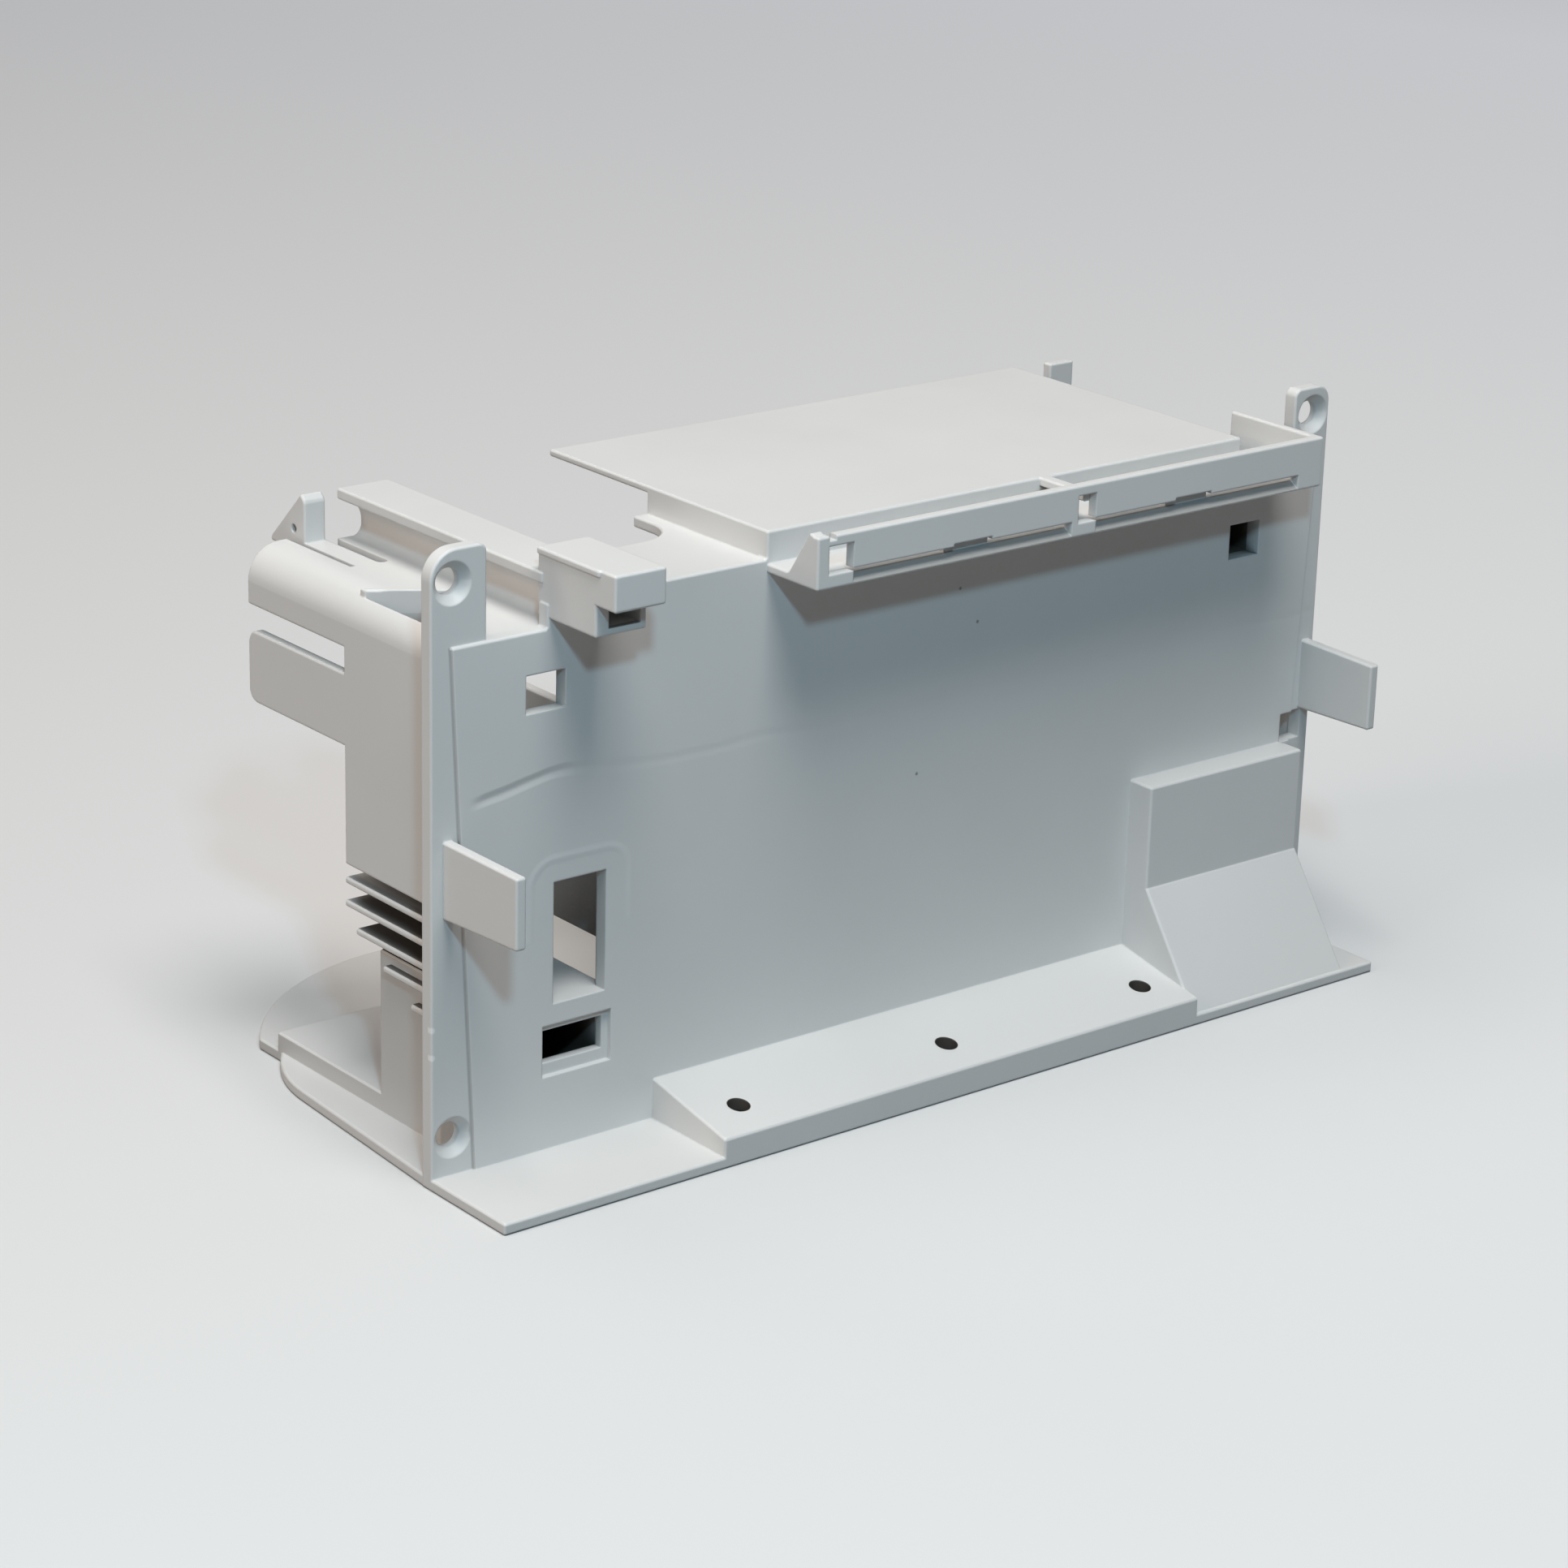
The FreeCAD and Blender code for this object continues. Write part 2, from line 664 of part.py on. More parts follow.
# Hood over the left end: side, rounded nose and top as one bent sheet.
solids.append(ease(outline("hood_head", "xz", "wall_back - bury", "hood_end - wall_back + bury", [
    ("hood_side", "nose_low"),
    ("hood_side + skin", "nose_low"),
    ("hood_side + skin", "hood_top - hood_nose", "hood_nose - skin", -1),
    ("hood_side + hood_nose", "hood_top - skin"),
    ("beam_right", "hood_top - skin"),
    ("beam_right", "hood_top"),
    ("hood_side + hood_nose", "hood_top", "hood_nose", 1),
    ("hood_side", "hood_top - hood_nose"),
])))
solids.append(ease(box("hood_wall", "hood_side", "hood_side + skin", "wall_back - bury", "hood_wall_end",
                  "hood_low", "nose_low + bury")))
solids.append(ease(outline("hood_tongue", "yz", "hood_side", "skin", [
    ("hood_wall_end - bury", "tongue_low"),
    ("hood_end - tongue_corner", "tongue_low", "tongue_corner", 1),
    ("hood_end", "tongue_low + tongue_corner"),
    ("hood_end", "tongue_high - tongue_corner", "tongue_corner", 1),
    ("hood_end - tongue_corner", "tongue_high"),
    ("hood_wall_end - bury", "tongue_high"),
])))
cutters.append(box("top_slot", "top_slot_left", "top_slot_right", "top_slot_start", "hood_end + cut_past",
                   "hood_top - skin - cut_past", "hood_top + cut_past"))
cutters.append(box("wide_slot", "wide_slot_left", "wide_slot_right",
                   "wide_slot_start + wide_slot_width / 2", "hood_end + cut_past",
                   "hood_top - skin - cut_past", "hood_top + cut_past"))
cutters.append(rod("wide_slot_end", "z", "wide_slot_left + wide_slot_width / 2",
                   "wide_slot_start + wide_slot_width / 2", "hood_top - skin - cut_past",
                   "wide_slot_width", "skin + cut_past + cut_past"))
cutters.append(box("beam_clear", "wide_slot_right", "beam_right + cut_past",
                   "beam_back", "hood_end + cut_past", "hood_top - skin - cut_past", "hood_top + cut_past"))

# Snap hook on the end of the narrow tongue in the hood top.
solids.append(ease(outline("hook_block", "yz", "top_slot_right", "wide_slot_left - top_slot_right", [
    ("hook_front", "hood_top - skin"),
    ("hook_back", "hood_top - skin"),
    ("hook_back", "hood_top - bury"),
    ("hook_ridge", "hook_top"),
    ("hook_front", "hook_face_top"),
])))
cutters.append(rod("hook_hole_cut", "x", "top_slot_right - cut_past", "hook_hole_row", "hook_hole_height",
                   "hook_hole", "wide_slot_left - top_slot_right + cut_past + cut_past"))

# Three-cornered relief in the hood top behind the lug, with a wall on its slanting side.
relief = outline("relief", "xy", "hood_top - relief_depth", "relief_depth + cut_past", [
    ("relief_edge", "relief_front"),
    ("relief_tip_x", "relief_tip_y"),
    ("relief_edge", "relief_back"),
])
cutters.append(relief)
solids.append(ease(outline("relief_wall", "xy", "hood_top - relief_depth", "relief_depth", [
    ("relief_edge", "relief_back"),
    ("relief_tip_x", "relief_tip_y"),
    ("relief_tip_x", "relief_tip_y + relief_wall_thick"),
    ("relief_edge", "relief_back + relief_wall_thick"),
])))

# Louvre fins below the hood side, and the ribs that carry them.
fin_ends = ("fin_end_first", "fin_end_second", "fin_end_third", "fin_end_fourth", "fin_end_fifth")
for number, reach in enumerate(fin_ends):
    height = "fin_top" + " - fin_pitch" * number
    solids.append(ease(box("fin_%d" % (number + 1), "hood_side", "rib_left + rib_thick / 2",
                           "wall_back - bury", reach, height + " - fin_thick", height)))
solids.append(ease(box("fin_rib", "rib_left", "rib_right", "wall_back - bury", "rib_back", "0", "rib_top")))

# Raised floor and the post at the open left end, cored from below.
solids.append(ease(box("floor", "floor_side", "floor_right", "wall_back - bury", "floor_back",
                       "0", "floor_top")))
cutters.append(box("floor_core", "floor_side + skin", "floor_right - skin", "wall_back + skin",
                   "floor_back - skin", "0 - cut_past", "floor_top - skin"))
solids.append(ease(box("post", "floor_side", "floor_side + skin", "wall_back - bury", "post_back",
                       "0", "post_top")))

# Beam along the inner side of the hood, open to the left as a channel.
solids.append(ease(outline("beam", "xz", "wall_back - bury", "beam_back - wall_back + bury", [
    ("beam_left", "hood_top - skin"),
    ("beam_right", "hood_top - skin"),
    ("beam_right", "hood_top"),
    ("beam_web + beam_web_thick", "hood_top"),
    ("beam_web + beam_web_thick", "deck_top - beam_lip"),
    ("beam_right", "deck_top - beam_lip"),
    ("beam_right", "deck_top"),
    ("beam_left", "deck_top"),
    ("beam_left", "deck_top - beam_lip"),
    ("beam_web - beam_groove_radius", "deck_top - beam_lip", "beam_groove_radius", -1),
    ("beam_web", "deck_top - beam_lip - beam_groove_radius"),
    ("beam_web", "hood_top + beam_foot_radius", "beam_foot_radius", -1),
    ("beam_web - beam_foot_radius", "hood_top"),
    ("beam_left", "hood_top"),
])))

# Box-shaped catch that stands out over the wall at the end of the beam.
solids.append(ease(box("box_upper", "box_left", "box_right", "box_front", "box_back",
                       "box_split", "box_top")))
solids.append(ease(box("box_lower", "box_left", "box_right", "box_low_front", "box_back", "box_low",
                  "box_split + bury")))
solids.append(ease(box("box_lid_edge", "box_left - box_lid_proud", "box_left + bury", "box_lid_front",
                  "box_back", "box_top - box_lid", "box_top")))
cutters.append(box("box_core", "box_left + box_side_wall", "box_right - box_wall",
                   "box_low_front - cut_past", "wall_front", "box_low + box_wall", "box_split"))

# Top sheet behind the wall, with the deep bay cut out of its left half.
solids.append(ease(outline("sheet", "xy", "sheet_top - skin", "skin", [
    ("sheet_left", "wall_back - bury"),
    ("rail_end + rail_return", "wall_back - bury"),
    ("rail_end + rail_return", "rail_return_back"),
    ("deck_right", "rail_return_back"),
    ("deck_right", "deck_side_back"),
    ("sheet_corner_x", "deck_side_back"),
    ("sheet_corner_x", "sheet_back + sheet_corner", "sheet_corner", -1),
    ("sheet_corner_x - sheet_corner", "sheet_back"),
    ("sheet_left", "sheet_back"),
])))

# Raised deck with the side walls under it.
solids.append(ease(box("deck", "deck_left", "deck_right", "wall_front", "deck_back", "deck_top - deck_thick",
                  "deck_top")))
solids.append(ease(box("deck_side", "deck_left", "deck_left + deck_side_thick", "wall_front",
                  "deck_side_back", "sheet_top - bury", "deck_top")))
solids.append(ease(box("deck_far_side", "deck_right - deck_side_thick", "deck_right", "wall_front",
                  "deck_side_back", "sheet_top - bury", "deck_top")))

# Rail that stands out over the wall: shelf, upright, end gusset and return.
solids.append(ease(box("rail_ledge", "deck_left", "rail_end + rail_return", "rail_front", "wall_front + bury",
                  "rail_low", "rail_low + rail_shelf")))
solids.append(ease(outline("rail_upright", "xy", "rail_low", "rail_top - rail_low", [
    ("deck_left", "rail_front"),
    ("rail_end + rail_return", "rail_front"),
    ("rail_end + rail_return", "rail_return_back"),
    ("rail_end", "rail_return_back"),
    ("rail_end", "rail_front + rail_thick"),
    ("deck_left", "rail_front + rail_thick"),
])))
solids.append(ease(outline("gusset", "yz", "deck_left", "gusset_thick", [
    ("rail_front", "rail_low"),
    ("wall_front + bury", "rail_low"),
    ("wall_front + bury", "rail_low + rail_shelf"),
    ("gusset_foot_y", "rail_low + rail_shelf"),
    ("gusset_ridge_y", "gusset_ridge_z"),
    ("rail_front", "gusset_face_top"),
])))
solids.append(ease(box("rail_bridge", "bridge_left", "bridge_right", "rail_front + bury", "wall_front + bury",
                  "bridge_low", "deck_top")))
for word, left, right in (("first", "gate_first_left", "gate_first_right"),
                          ("second", "gate_second_left", "gate_second_right")):
    cutters.append(box("gate_" + word, left, right, "rail_front - cut_past", "rail_front + rail_thick",
                       "gate_low", "gate_high"))
for word, left, right in (("first", "gate_first_right", "slit_first_right"),
                          ("second", "gate_second_right", "slit_second_right")):
    cutters.append(outline("slit_" + word, "yz", left, right + " - " + left, [
        ("rail_front - cut_past", "slit_low"),
        ("rail_front", "slit_low"),
        ("rail_front + rail_thick", "rail_low + rail_shelf"),
        ("rail_front + rail_thick", "slit_high"),
        ("rail_front - cut_past", "slit_high"),
    ]))
for word in ("first", "second"):
    start = "deck_left + notch_%s_offset" % word
    cutters.append(box("slit_notch_" + word, start, start + " + notch_length", "rail_front - cut_past",
                       "rail_front + rail_thick", "slit_high - notch_rise", "slit_high + notch_rise"))
    solids.append(ease(box("rail_pad_" + word, start + " - rail_pad_lap",
                           start + " + notch_length + rail_pad_lap", "rail_front + rail_thick - bury",
                           "rail_front + rail_thick + rail_pad", "rail_low",
                           "slit_high + notch_rise + notch_rise")))
cutters.append(box("rail_nick", "gate_first_left", "gate_first_left + rail_nick_width",
                   "rail_front - cut_past", "rail_front + rail_thick", "rail_top - rail_nick_depth",
                   "rail_top + cut_past"))

# Right end wall, and the back post whose catch stands up past the deck.
solids.append(ease(box("end_wall", "base_length - end_wall_thick", "base_length", "strip_back - bury",
                  "body_back", "0", "end_wall_top")))
solids.append(ease(box("back_post", "catch_left", "base_length", "body_back - catch_thick", "body_back",
                  "0", "end_wall_top")))
solids.append(ease(box("catch", "catch_left", "catch_right", "body_back - catch_thick", "body_back",
                  "end_wall_top - bury", "catch_top")))

# Closed pocket behind the right square hole.
solids.append(ease(box("pocket", "pocket_left", "pocket_right", "wall_back - bury", "pocket_back",
                       "pocket_low", "pocket_high")))
cutters.append(box("pocket_core", "far_hole_left", "far_hole_right", "wall_back", "pocket_back - pocket_wall",
                   "hole_low", "hole_high"))

# Divider and shelf inside, seen through the windows.
solids.append(ease(box("divider", "divider_left", "divider_left + divider_thick", "wall_back - bury",
                  "divider_back", "divider_low", "divider_high")))
solids.append(ease(box("inner_shelf", "rib_left", "shelf_right + cavity_wall", "wall_back - bury",
                       "rib_back", "shelf_low", "window_low")))

# Cavity behind the port, closed at its right side and at its back.
solids.append(ease(box("cavity_side", "shelf_right", "shelf_right + cavity_wall", "wall_back - bury",
                       "rib_back", "base_thick - bury", "window_low")))
solids.append(ease(box("cavity_back", "rib_left", "shelf_right + cavity_wall", "rib_back - cavity_wall",
                       "rib_back", "base_thick - bury", "window_low")))

whole = join("whole", solids)
tools = doc.addObject("Part::MultiFuse", "openings")
tools.Shapes = cutters
housing = doc.addObject("Part::Cut", "housing")
housing.Base = whole
housing.Tool = tools
housing.Refine = True
housing.Label = "housing"
housing.setExpression("Placement.Base.x", "-sizes.base_length / 2")
housing.setExpression("Placement.Base.y", "-sizes.base_depth / 2")
doc.recompute()

for item in doc.Objects:
    if "Invalid" in item.State or "Error" in item.State:
        raise RuntimeError("not built: " + item.Name)
    if hasattr(item, "Shape") and not item.isDerivedFrom("Spreadsheet::Sheet"):
        if item.Shape.isNull() or not item.Shape.isValid():
            raise RuntimeError("bad shape: " + item.Name)
if len(housing.Shape.Solids) != 1:
    raise RuntimeError("the housing must be one solid")

limits = housing.Shape.BoundBox
print("limits", limits)
print("volume", housing.Shape.Volume)
os.makedirs("parts", exist_ok=True)
housing.Shape.exportStep("parts/housing.step")
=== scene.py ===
import math

import bpy
from mathutils import Matrix, Vector

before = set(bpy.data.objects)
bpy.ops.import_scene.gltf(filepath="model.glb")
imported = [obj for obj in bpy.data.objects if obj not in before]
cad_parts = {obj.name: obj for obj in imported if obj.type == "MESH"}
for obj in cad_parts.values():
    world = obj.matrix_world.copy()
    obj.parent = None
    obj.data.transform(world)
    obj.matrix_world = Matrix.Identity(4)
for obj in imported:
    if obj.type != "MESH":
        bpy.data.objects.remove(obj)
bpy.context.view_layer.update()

# Camera, solved from the photograph's edges, in metres, degrees and lens millimetres.
CAMERA_PLACE = Vector((-0.47508, -0.58758, 0.30897))
CAMERA_AZIMUTH = -39.028
CAMERA_ELEVATION = 19.497
CAMERA_ROLL = 1.510
CAMERA_LENS = 101.20
SENSOR_WIDTH = 36.0
CLIP_NEAR = 0.01
CLIP_FAR = 20.0

camera_data = bpy.data.cameras.new("camera")
camera_data.lens = CAMERA_LENS
camera_data.sensor_width = SENSOR_WIDTH
camera_data.clip_start = CLIP_NEAR
camera_data.clip_end = CLIP_FAR
camera = bpy.data.objects.new("camera", camera_data)
bpy.context.scene.collection.objects.link(camera)
turn = (Matrix.Rotation(math.radians(CAMERA_AZIMUTH), 4, "Z")
        @ Matrix.Rotation(math.radians(90.0 - CAMERA_ELEVATION), 4, "X")
        @ Matrix.Rotation(math.radians(CAMERA_ROLL), 4, "Z"))
camera.matrix_world = Matrix.Translation(CAMERA_PLACE) @ turn
bpy.context.scene.camera = camera


def node(tree, kind, **values):
    """A shader node with its plain settings and the values of its named inputs."""
    item = tree.nodes.new(kind)
    for name, value in values.items():
        if hasattr(item, name):
            setattr(item, name, value)
        else:
            item.inputs[name.replace("_", " ")].default_value = value
    return item


def axes(tree, vector):
    """The X, Y and Z of a vector."""
    parts = node(tree, "ShaderNodeSeparateXYZ")
    tree.links.new(vector, parts.inputs["Vector"])
    return parts.outputs["X"], parts.outputs["Y"], parts.outputs["Z"]


def noise(tree, place, look):
    """Noise by its scale and its detail."""
    item = node(tree, "ShaderNodeTexNoise", Scale=look[0], Detail=look[1])
    tree.links.new(place, item.inputs["Vector"])
    return item.outputs["Fac"]


def spread(tree, value, low, high):
    """Map a 0 to 1 value to a range."""
    item = node(tree, "ShaderNodeMapRange", To_Min=low, To_Max=high)
    tree.links.new(value, item.inputs["Value"])
    return item.outputs["Result"]


def fade(tree, value, near, far):
    """1 where a value is at most near, going smoothly to 0 at far."""
    item = node(tree, "ShaderNodeMapRange", interpolation_type="SMOOTHSTEP",
                From_Min=near, From_Max=far, To_Min=1.0, To_Max=0.0)
    tree.links.new(value, item.inputs["Value"])
    return item.outputs["Result"]


def work(tree, operation, *values):
    """A maths node on numbers or on other nodes' outputs."""
    item = node(tree, "ShaderNodeMath", operation=operation)
    for number, value in enumerate(values):
        if isinstance(value, (int, float)):
            item.inputs[number].default_value = value
        else:
            tree.links.new(value, item.inputs[number])
    return item.outputs["Value"]


def times(tree, *values):
    """The product of several values."""
    product = values[0]
    for value in values[1:]:
        product = work(tree, "MULTIPLY", product, value)
    return product


def largest(tree, *values):
    """The largest of several values."""
    top = values[0]
    for value in values[1:]:
        top = work(tree, "MAXIMUM", top, value)
    return top


def under(tree, value, limit):
    return work(tree, "LESS_THAN", value, limit)


def over(tree, value, limit):
    return work(tree, "GREATER_THAN", value, limit)


def apart(tree, value, middle):
    """How far a value is from a middle."""
    return work(tree, "ABSOLUTE", work(tree, "SUBTRACT", value, middle))


def within(tree, value, middle, half):
    """1 where a value is closer to a middle than half."""
    return under(tree, apart(tree, value, middle), half)


def outside(tree, value, middle, half):
    """How far a value is out of a range around a middle, or 0 in it."""
    return work(tree, "MAXIMUM", work(tree, "SUBTRACT", apart(tree, value, middle), half), 0.0)


def length(tree, one, two):
    """The length across two distances at right angles."""
    return work(tree, "SQRT", work(tree, "ADD", times(tree, one, one), times(tree, two, two)))


def spots(tree, one, two, places, near, far):
    """Round spots at places on two axes: 1 up to near, going to 0 at far."""
    return largest(tree, *[
        fade(tree, length(tree, work(tree, "SUBTRACT", one, place[0]),
                          work(tree, "SUBTRACT", two, place[1])), near, far)
        for place in places])


def tint(tree, factor, below, colour):
    """Lay one plain colour over another by a factor."""
    item = node(tree, "ShaderNodeMix", data_type="RGBA", B=colour)
    tree.links.new(factor, item.inputs["Factor"])
    tree.links.new(below, item.inputs["A"])
    return item.outputs["Result"]


def bump(tree, height, look, normal):
    """Bump by its strength and its distance, on top of another normal."""
    item = node(tree, "ShaderNodeBump", Strength=look[0], Distance=look[1])
    tree.links.new(height, item.inputs["Height"])
    tree.links.new(normal, item.inputs["Normal"])
    return item.outputs["Normal"]


# Places and sizes on the object, in metres. X runs along the wall, Y into the object and Z is height.
# The wall's front, where the flow line, the arch and the specks lie.
WALL_FRONT = -0.0356
WALL_NEAR = 0.00096
WALL_FAR = 0.0012

# The flow line climbs to a crest beside the window and is strong up to there, and faint beyond.
WELD_HEIGHT = 0.0667
WELD_WAVE = 0.0050
WELD_HALF = 0.0014
WELD_CREST = -0.0740
WELD_CREST_REACH = 0.0260
WELD_RISE = 0.0030
WELD_STRONG = -0.0770
WELD_FAINT = -0.0660
WELD_FAINT_PART = 0.16
WELD_START = 0.0895
WELD_END = 0.0935

# The soft arch over the window.
ARCH_MIDDLE = (-0.0706, 0.0400)
ARCH_HALF = (0.0052, 0.0090)
ARCH_RADIUS = 0.0050
ARCH_BAND = 0.0011

# Dark specks on the wall.
DOTS = ((0.0107, 0.0858), (0.0150, 0.0790), (0.0022, 0.0533))
DOT_NEAR = 0.000135
DOT_FAR = 0.00045

# Pale spots painted as the highlights of small flash nibs on the edge of the left strip.
FLASH_HIGHLIGHTS = ((-0.0998, 0.0288), (-0.0998, 0.0239))
FLASH_NEAR = 0.00035
FLASH_FAR = 0.0007
FLASH_BACK = -0.0340

# The three holes of the step, painted dark with shade up to a height.
FOOT_HOLES = ((-0.0461, -0.0484), (0.0004, -0.0484), (0.0469, -0.0484))
FOOT_HOLE_NEAR = 0.0020
FOOT_HOLE_FAR = 0.00212
FOOT_HOLE_TOP = 0.0200

# Where deep recesses get painted shade: all that is lower than the beam or beside the rail.
BEAM_UNDERSIDE = 0.090
RAIL_LEFT = -0.033

# The level faces of the fins, and the inside of the housing, where shade is painted by openness.
FIN_MIDDLE = 0.0345
FIN_HALF = 0.0105
FIN_INNER = -0.0810
FIN_FRONT = -0.0325
INNER_LEFT = -0.0865
INNER_LOW = 0.0060

# The line between the raised panel, which leans, and the left strip, where a thin painted shade runs.
PANEL_FOOT = -0.0916
PANEL_LEAN = 0.0505
PANEL_HEAD = 0.0940
STRIP_FRONT = -0.0350
CREASE_NEAR = 0.00016
CREASE_FAR = 0.0004
CREASE_DEPTH = 0.0005

# The rib panel under the fins, and its corner behind the lower left screw hole, both darkened with painted
# shade.
RIB_FACE = -0.0870
RIB_REACH = 0.0045
RIB_LOW = 0.0310
RIB_HIGH = 0.0400
CORNER_DEEP = -0.0250
CORNER_OUT = -0.0235
CORNER_LOW = 0.0120
CORNER_TOP = 0.0180

# The lip under the rail's bar, darkened with the bar's painted shadow.
LIP_HEIGHT = 0.0969
LIP_HALF = 0.0010
LIP_DEPTH = -0.0480
LIP_REACH = 0.0011

# How much of a normal has to point one way for a face to count as facing it.
FACING_FULLY = 0.8
FACING_PARTLY = 0.5

# Ambient occlusion, in metres, and the openness at which each painted shade is full and gone.
OPEN_DISTANCE = 0.030
OPEN_SAMPLES = 16
RECESS_FADE = (0.06, 0.28)
INNER_FADE = (0.12, 0.50)
FIN_FADE = (0.25, 0.85)

# How strong the painted shades of single places are.
CREASE_SHADE = 0.28
LIP_SHADE = 0.50
RIB_SHADE = 0.24
CORNER_SHADE = 0.48

# Colours as linear red, green, blue and alpha, and how far each one covers what is below.
PLASTIC_DARK = (0.600, 0.594, 0.582, 1.0)
PLASTIC_PALE = (0.655, 0.650, 0.640, 1.0)
# Pale edges, partly wear and partly a painted highlight, and the painted highlights of the flash nibs.
EDGE_WEAR_AND_HIGHLIGHT_COLOUR = (0.80, 0.795, 0.785, 1.0)
# The painted shade of recesses, holes, fin gaps, the crease and single places.
PAINTED_SHADE_COLOUR = (0.050, 0.041, 0.033, 1.0)
PAINTED_SHADE_COVER = 0.97
WELD_COLOUR = (0.40, 0.39, 0.38, 1.0)
WELD_COVER = 0.06
ARCH_COLOUR = (0.80, 0.80, 0.80, 1.0)
ARCH_COVER = 0.12
DOT_COLOUR = (0.12, 0.11, 0.10, 1.0)
DOT_COVER = 0.75

# Noises by scale and detail, and bumps by strength and distance in metres.
WAVE_NOISE = (40.0, 2.0)
CLOUD_NOISE = (22.0, 3.0)
EDGE_WEAR_AND_HIGHLIGHT_NOISE = (180.0, 3.0)
GLOSS_NOISE = (60.0, 4.0)
GRAIN_NOISE = (2600.0, 2.0)
SHRINK_NOISE = (35.0, 2.0)
GRAIN_BUMP = (0.12, 0.00006)
SHRINK_BUMP = (0.25, 0.0004)
MARK_BUMP = (0.50, 0.00014)
WELD_DEPTH = 3.0

# Rounded edges in metres, how they wear and are painted with a highlight, and the shine.
EDGE_RADIUS = 0.00045
EDGE_SAMPLES = 8
EDGE_FADE = (0.70, 0.985)
EDGE_WEAR_AND_HIGHLIGHT_RANGE = (0.25, 0.95)
ROUGHNESS_RANGE = (0.40, 0.56)
SPECULAR = 0.42


def wall_marks(tree, place, along, depth, height):
    """The flow line across the wall, the soft arch over the window, and the dark specks."""
    on_wall = fade(tree, apart(tree, depth, WALL_FRONT), WALL_NEAR, WALL_FAR)

    wave = times(tree, work(tree, "SUBTRACT", noise(tree, place, WAVE_NOISE), 0.5), WELD_WAVE)
    rise = times(tree, fade(tree, apart(tree, along, WELD_CREST), 0.0, WELD_CREST_REACH), WELD_RISE)
    weld_far = apart(tree, work(tree, "SUBTRACT", height, WELD_HEIGHT), work(tree, "ADD", wave, rise))
    weld = times(tree, fade(tree, weld_far, 0.0, WELD_HALF), on_wall,
                 spread(tree, fade(tree, along, WELD_STRONG, WELD_FAINT), WELD_FAINT_PART, 1.0),
                 fade(tree, times(tree, along, -1.0), WELD_START, WELD_END))

    reach = length(tree, outside(tree, along, ARCH_MIDDLE[0], ARCH_HALF[0]),
                   outside(tree, height, ARCH_MIDDLE[1], ARCH_HALF[1]))
    arch = times(tree, fade(tree, apart(tree, reach, ARCH_RADIUS), 0.0, ARCH_BAND),
                 over(tree, height, ARCH_MIDDLE[1]), on_wall)

    dots = times(tree, spots(tree, along, height, DOTS, DOT_NEAR, DOT_FAR), on_wall)
    return weld, arch, dots


def shade(tree, along, depth, height):
    """How much painted shade each place gets: recesses by ambient occlusion, and single places of their
    own.
    """
    geometry = node(tree, "ShaderNodeNewGeometry")
    facing_x, _, facing_z = axes(tree, geometry.outputs["True Normal"])
    occlusion = node(tree, "ShaderNodeAmbientOcclusion", samples=OPEN_SAMPLES, Distance=OPEN_DISTANCE)
    openness = occlusion.outputs["AO"]

    recess_zone = largest(tree, under(tree, height, BEAM_UNDERSIDE), over(tree, along, RAIL_LEFT))
    foot_holes = times(tree, spots(tree, along, depth, FOOT_HOLES, FOOT_HOLE_NEAR, FOOT_HOLE_FAR),
                       under(tree, height, FOOT_HOLE_TOP))
    fin_zone = times(tree, within(tree, height, FIN_MIDDLE, FIN_HALF), under(tree, along, FIN_INNER),
                     over(tree, depth, FIN_FRONT),
                     over(tree, work(tree, "ABSOLUTE", facing_z), FACING_FULLY))
    inner_zone = times(tree, over(tree, depth, FIN_FRONT), over(tree, along, INNER_LEFT),
                       over(tree, height, INNER_LOW), under(tree, height, BEAM_UNDERSIDE))

    crease_far = work(tree, "ABSOLUTE", work(tree, "ADD", work(tree, "SUBTRACT", along, PANEL_FOOT),
                                             times(tree, height, PANEL_LEAN)))
    crease = times(tree, fade(tree, crease_far, CREASE_NEAR, CREASE_FAR),
                   within(tree, depth, STRIP_FRONT, CREASE_DEPTH), under(tree, height, PANEL_HEAD))
    lip = times(tree, within(tree, height, LIP_HEIGHT, LIP_HALF),
                within(tree, depth, LIP_DEPTH, LIP_REACH), over(tree, facing_z, FACING_PARTLY))
    panel = times(tree, under(tree, facing_x, -FACING_FULLY), within(tree, along, RIB_FACE, RIB_REACH))
    rib = times(tree, panel, fade(tree, height, RIB_LOW, RIB_HIGH))
    corner = times(tree, panel, fade(tree, depth, CORNER_DEEP, CORNER_OUT),
                   fade(tree, height, CORNER_LOW, CORNER_TOP))

    return largest(tree, foot_holes,
                   times(tree, fade(tree, openness, *RECESS_FADE), recess_zone),
                   times(tree, fade(tree, openness, *INNER_FADE), inner_zone),
                   times(tree, fade(tree, openness, *FIN_FADE), fin_zone),
                   times(tree, crease, CREASE_SHADE), times(tree, lip, LIP_SHADE),
                   times(tree, rib, RIB_SHADE), times(tree, corner, CORNER_SHADE))


